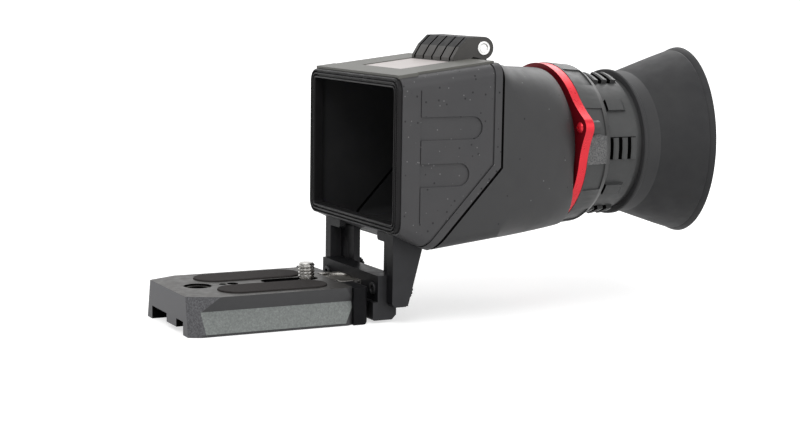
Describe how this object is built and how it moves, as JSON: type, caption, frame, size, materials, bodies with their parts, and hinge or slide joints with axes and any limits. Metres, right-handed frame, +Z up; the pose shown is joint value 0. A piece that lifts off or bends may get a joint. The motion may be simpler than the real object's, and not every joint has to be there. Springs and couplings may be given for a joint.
{
  "type": "lcd viewfinder loupe",
  "caption": "Camera screen loupe: a light hood with a flip-up focusing eyepiece on a height and reach adjustable bracket and a screw-on base plate.",
  "frame": {"origin": "on the camera screw's axis, in the plane of the rubber pads' tops, where the camera's base rests", "axes": "+Y from the camera towards the eye, +Z up, +X to the right seen from behind the camera's front, so the camera screw points up +Z"},
  "size_m": [0.079, 0.2375, 0.1079],
  "materials": {
    "plate_alloy": "satin black anodised, lighter on the clamped flanks",
    "pad_rubber": "matte",
    "black_alloy": "satin black anodised",
    "steel": "bright",
    "dark_steel": "blackened",
    "chrome": "polished",
    "shell_plastic": "fine grained matte with faint flecks",
    "top_plastic": "fine grained matte",
    "pale_plastic": "smooth, bare",
    "black_plastic": "matte",
    "black_rubber": "matte",
    "red_alloy": "red anodised",
    "grip_plastic": "satin",
    "cup_rubber": "soft matte",
    "lens_glass": "coated",
    "brass": "turned"
  },
  "bodies": {
    "base": {"base_plate": "plate_alloy", "rubber_pad_left": "pad_rubber", "rubber_pad_right": "pad_rubber", "slide_housing": "black_alloy", "housing_screws": "steel"},
    "slide_lock": {"slide_lock": "black_alloy"},
    "screw_carrier": {"screw_bush": "steel"},
    "camera_screw": {"camera_screw": "steel"},
    "finger_ring": {"finger_ring": "steel"},
    "slider": {"slide_tongue": "steel", "crossbar": "black_alloy", "tongue_screws": "dark_steel", "clamp_screws": "dark_steel"},
    "thumb_nut_left": {"thumb_nut_left": "black_alloy"},
    "thumb_nut_right": {"thumb_nut_right": "black_alloy"},
    "hood": {"leg_left": "black_alloy", "leg_right": "black_alloy", "leg_screws": "dark_steel", "hood_shell": "shell_plastic", "front_gasket": "black_rubber", "top_plate": "top_plastic", "label_panel": "pale_plastic", "hinge_block": "black_plastic", "hinge_pin": "chrome", "hinge_screws": "dark_steel", "hood_magnets": "steel"},
    "eyepiece": {"rear_housing": "shell_plastic", "seam_seal": "black_rubber", "light_baffle": "black_plastic", "housing_magnets": "steel", "neck_screws": "dark_steel", "flange_ring": "red_alloy", "flange_screws": "red_alloy", "focus_base": "grip_plastic"},
    "focus": {"focus_barrel": "grip_plastic", "eyecup": "cup_rubber"},
    "optics": {"lens_cell": "black_plastic", "front_lens": "lens_glass", "lens_spacer": "black_plastic", "rear_lens": "lens_glass", "lens_retainer": "black_plastic", "guide_pins": "brass"}
  },
  "joints": [
    {"name": "lock_turn", "type": "hinge", "parent": "base", "child": "slide_lock", "pos_m": [-0.0285, 0.0116, -0.0042], "axis": [1, 0, 0], "range_deg": [0, 360]},
    {"name": "carrier_slide", "type": "slide", "parent": "base", "child": "screw_carrier", "axis": [0, 1, 0], "range_m": [-0.0151, 0.001]},
    {"name": "camera_screw_turn", "type": "hinge", "parent": "screw_carrier", "child": "camera_screw", "pos_m": [0, 0, -0.008], "axis": [0, 0, 1], "continuous": true},
    {"name": "finger_ring_fold", "type": "hinge", "parent": "camera_screw", "child": "finger_ring", "pos_m": [0, 0.0034, -0.0108], "axis": [1, 0, 0], "range_deg": [0, 90]},
    {"name": "reach_slide", "type": "slide", "parent": "base", "child": "slider", "axis": [0, 1, 0], "range_m": [-0.001, 0.022]},
    {"name": "left_nut_turn", "type": "hinge", "parent": "slider", "child": "thumb_nut_left", "pos_m": [-0.0206, 0.0325, -0.00235], "axis": [0, 1, 0], "range_deg": [0, 360]},
    {"name": "right_nut_turn", "type": "hinge", "parent": "slider", "child": "thumb_nut_right", "pos_m": [0.0206, 0.0325, -0.00235], "axis": [0, 1, 0], "range_deg": [0, 360]},
    {"name": "height_slide", "type": "slide", "parent": "slider", "child": "hood", "axis": [0, 0, 1], "range_m": [-0.0062, 0.0022]},
    {"name": "flip_hinge", "type": "hinge", "parent": "hood", "child": "eyepiece", "pos_m": [0, 0.06695, 0.0883], "axis": [1, 0, 0], "range_deg": [0, 100]},
    {"name": "focus_turn", "type": "hinge", "parent": "eyepiece", "child": "focus", "pos_m": [0, 0.13, 0.0486], "axis": [0, 1, 0], "range_deg": [-90, 90]},
    {"name": "lens_slide", "type": "slide", "parent": "eyepiece", "child": "optics", "axis": [0, 1, 0], "range_m": [-0.004, 0.004]}
  ],
  "couplings": [
    {"joint": "lens_slide", "follows": "focus_turn", "m_per_rad": 0.0025465}
  ]
}
